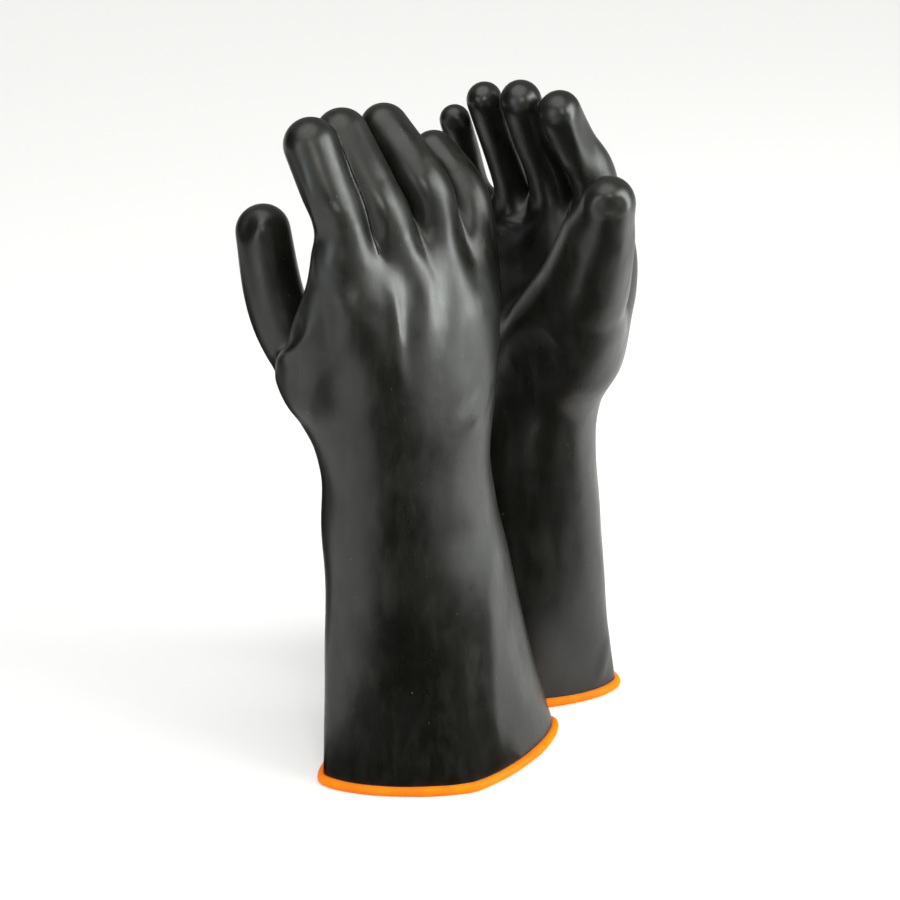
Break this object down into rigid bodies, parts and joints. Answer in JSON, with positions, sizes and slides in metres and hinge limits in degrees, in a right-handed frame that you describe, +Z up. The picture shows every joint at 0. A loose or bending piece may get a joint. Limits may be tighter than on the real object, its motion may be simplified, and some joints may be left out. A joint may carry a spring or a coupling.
{
  "type": "electrical insulating gloves",
  "caption": "Pair of long-cuffed two-ply rubber gloves for live electrical work, black outside with an orange liner and rolled cuff bead, standing on their cuffs.",
  "frame": {"origin": "centre of the pair's footprint, on the floor plane under the cuff beads", "axes": "+Z up from the cuffs to the fingertips, -Y toward the viewer with the front glove nearer, +X to the viewer's right"},
  "size_m": [0.197, 0.1644, 0.3466],
  "materials": {
    "black_rubber": "satin",
    "orange_rubber": "satin"
  },
  "bodies": {
    "front_gauntlet": {"front_gauntlet_outer": "black_rubber", "front_gauntlet_liner": "orange_rubber", "front_cuff_bead": "orange_rubber"},
    "front_hand": {"front_hand_outer": "black_rubber", "front_hand_liner": "orange_rubber"},
    "front_thumb": {"front_thumb_outer": "black_rubber", "front_thumb_liner": "orange_rubber"},
    "front_index": {"front_index_outer": "black_rubber", "front_index_liner": "orange_rubber"},
    "front_middle": {"front_middle_outer": "black_rubber", "front_middle_liner": "orange_rubber"},
    "front_ring": {"front_ring_outer": "black_rubber", "front_ring_liner": "orange_rubber"},
    "front_little": {"front_little_outer": "black_rubber", "front_little_liner": "orange_rubber"},
    "rear_gauntlet": {"rear_gauntlet_outer": "black_rubber", "rear_gauntlet_liner": "orange_rubber", "rear_cuff_bead": "orange_rubber"},
    "rear_hand": {"rear_hand_outer": "black_rubber", "rear_hand_liner": "orange_rubber"},
    "rear_thumb": {"rear_thumb_outer": "black_rubber", "rear_thumb_liner": "orange_rubber"},
    "rear_index": {"rear_index_outer": "black_rubber", "rear_index_liner": "orange_rubber"},
    "rear_middle": {"rear_middle_outer": "black_rubber", "rear_middle_liner": "orange_rubber"},
    "rear_ring": {"rear_ring_outer": "black_rubber", "rear_ring_liner": "orange_rubber"},
    "rear_little": {"rear_little_outer": "black_rubber", "rear_little_liner": "orange_rubber"}
  },
  "joints": [
    {"name": "front_wrist_fold", "type": "hinge", "parent": "front_gauntlet", "child": "front_hand", "pos_m": [-0.03642, -0.01466, 0.165], "axis": [-0.7986, -0.6018, 0], "range_deg": [0, 20], "stiffness_Nm_per_rad": 1.2},
    {"name": "front_index_fold", "type": "hinge", "parent": "front_hand", "child": "front_index", "pos_m": [-0.04878, -0.04977, 0.262], "axis": [-0.7986, -0.6018, 0], "range_deg": [0, 25], "stiffness_Nm_per_rad": 0.12},
    {"name": "front_middle_fold", "type": "hinge", "parent": "front_hand", "child": "front_middle", "pos_m": [-0.03148, -0.03949, 0.262], "axis": [-0.7986, -0.6018, 0], "range_deg": [0, 25], "stiffness_Nm_per_rad": 0.12},
    {"name": "front_ring_fold", "type": "hinge", "parent": "front_hand", "child": "front_ring", "pos_m": [-0.01351, -0.02595, 0.262], "axis": [-0.7986, -0.6018, 0], "range_deg": [0, 25], "stiffness_Nm_per_rad": 0.12},
    {"name": "front_little_fold", "type": "hinge", "parent": "front_hand", "child": "front_little", "pos_m": [0.00385, -0.01161, 0.262], "axis": [-0.7986, -0.6018, 0], "range_deg": [0, 25], "stiffness_Nm_per_rad": 0.12},
    {"name": "front_thumb_fold", "type": "hinge", "parent": "front_hand", "child": "front_thumb", "pos_m": [-0.05963, -0.0279, 0.228], "axis": [-0.6018, 0.7986, 0], "range_deg": [0, 15], "stiffness_Nm_per_rad": 0.2},
    {"name": "rear_wrist_fold", "type": "hinge", "parent": "rear_gauntlet", "child": "rear_hand", "pos_m": [0.06105, 0.05956, 0.165], "axis": [0.7986, -0.6018, 0], "range_deg": [-18, 0], "stiffness_Nm_per_rad": 1.2},
    {"name": "rear_index_fold", "type": "hinge", "parent": "rear_hand", "child": "rear_index", "pos_m": [0.08838, 0.0277, 0.262], "axis": [0.7986, -0.6018, 0], "range_deg": [-15, 0], "stiffness_Nm_per_rad": 0.12},
    {"name": "rear_middle_fold", "type": "hinge", "parent": "rear_hand", "child": "rear_middle", "pos_m": [0.07037, 0.04202, 0.262], "axis": [0.7986, -0.6018, 0], "range_deg": [-15, 0], "stiffness_Nm_per_rad": 0.12},
    {"name": "rear_ring_fold", "type": "hinge", "parent": "rear_hand", "child": "rear_ring", "pos_m": [0.053, 0.05386, 0.262], "axis": [0.7986, -0.6018, 0], "range_deg": [-15, 0], "stiffness_Nm_per_rad": 0.12},
    {"name": "rear_little_fold", "type": "hinge", "parent": "rear_hand", "child": "rear_little", "pos_m": [0.03442, 0.0641, 0.262], "axis": [0.7986, -0.6018, 0], "range_deg": [-15, 0], "stiffness_Nm_per_rad": 0.12},
    {"name": "rear_thumb_fold", "type": "hinge", "parent": "rear_hand", "child": "rear_thumb", "pos_m": [0.05782, -0.00537, 0.25], "axis": [-0.6018, -0.7986, 0], "range_deg": [0, 12], "stiffness_Nm_per_rad": 0.2},
    {"name": "gloves_apart", "type": "slide", "parent": "front_gauntlet", "child": "rear_gauntlet", "axis": [0, 1, 0], "range_m": [0, 0.12]}
  ]
}
